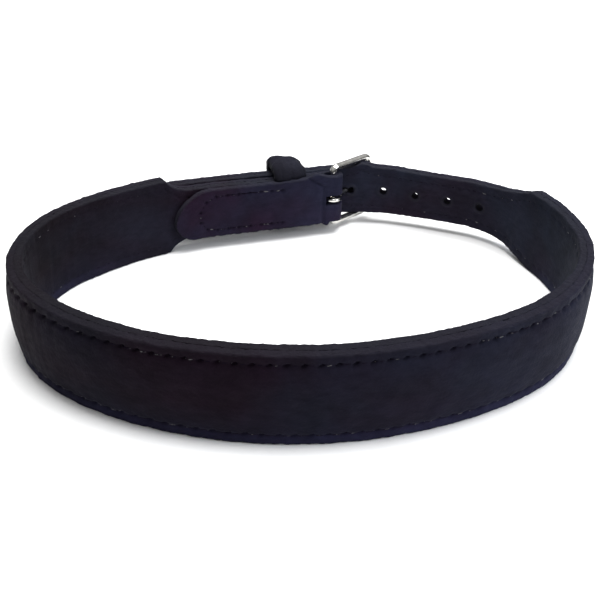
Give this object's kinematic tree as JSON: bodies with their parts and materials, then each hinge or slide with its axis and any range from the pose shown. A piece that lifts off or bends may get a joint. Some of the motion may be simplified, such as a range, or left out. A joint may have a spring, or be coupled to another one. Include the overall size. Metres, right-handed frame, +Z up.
{
  "type": "padded buckle dog collar",
  "caption": "Padded leather dog collar, buckled into a ring: wide stitched band, narrow strap ends, pin buckle, keeper loop and punched tongue.",
  "frame": {"origin": "middle of the buckled collar's footprint, level with its lower edge", "axes": "+X to the tongue side of the band, +Y from the middle of the padded front to the buckle at the back, +Z up, across the width of the strap"},
  "size_m": [0.194, 0.1552, 0.03],
  "materials": {
    "outer_leather": "matt nubuck with a short nap",
    "inner_leather": "matt nubuck, smoother and slightly worn",
    "padding": "closed foam",
    "thread": "waxed polyester thread",
    "buckle_metal": "polished nickel plate"
  },
  "bodies": {
    "band": {"lining_buckle_side": "inner_leather", "padding_buckle_side": "padding", "cover_buckle_side": "outer_leather", "keeper": "outer_leather", "upper_seam_buckle_side": "thread", "lower_seam_buckle_side": "thread", "turnback_seam": "thread"},
    "tongue_arm": {"lining_tongue_side": "inner_leather", "padding_tongue_side": "padding", "cover_tongue_side": "outer_leather", "upper_seam_tongue_side": "thread", "lower_seam_tongue_side": "thread", "tongue_inner_ply": "inner_leather", "tongue_outer_ply": "outer_leather", "tongue_seam": "thread"},
    "frame": {"buckle_frame": "buckle_metal"},
    "prong": {"buckle_prong": "buckle_metal"}
  },
  "joints": [
    {"name": "collar_opening", "type": "hinge", "parent": "band", "child": "tongue_arm", "pos_m": [0.01806, -0.07498, 0.015], "axis": [0, 0, -1], "range_deg": [0, 45], "deforming": ["tongue_inner_ply", "tongue_outer_ply", "tongue_seam"]},
    {"name": "frame_swing", "type": "hinge", "parent": "band", "child": "frame", "pos_m": [0.00891, 0.05867, 0.015], "axis": [0, 0, 1], "range_deg": [0, 20]},
    {"name": "prong_swing", "type": "hinge", "parent": "band", "child": "prong", "pos_m": [0.00891, 0.05867, 0.015], "axis": [0, 0, 1], "range_deg": [0, 60]}
  ],
  "couplings": [
    {"joint": "frame_swing", "follows": "collar_opening", "ratio": 0.444},
    {"joint": "prong_swing", "follows": "collar_opening", "ratio": 1.333}
  ]
}
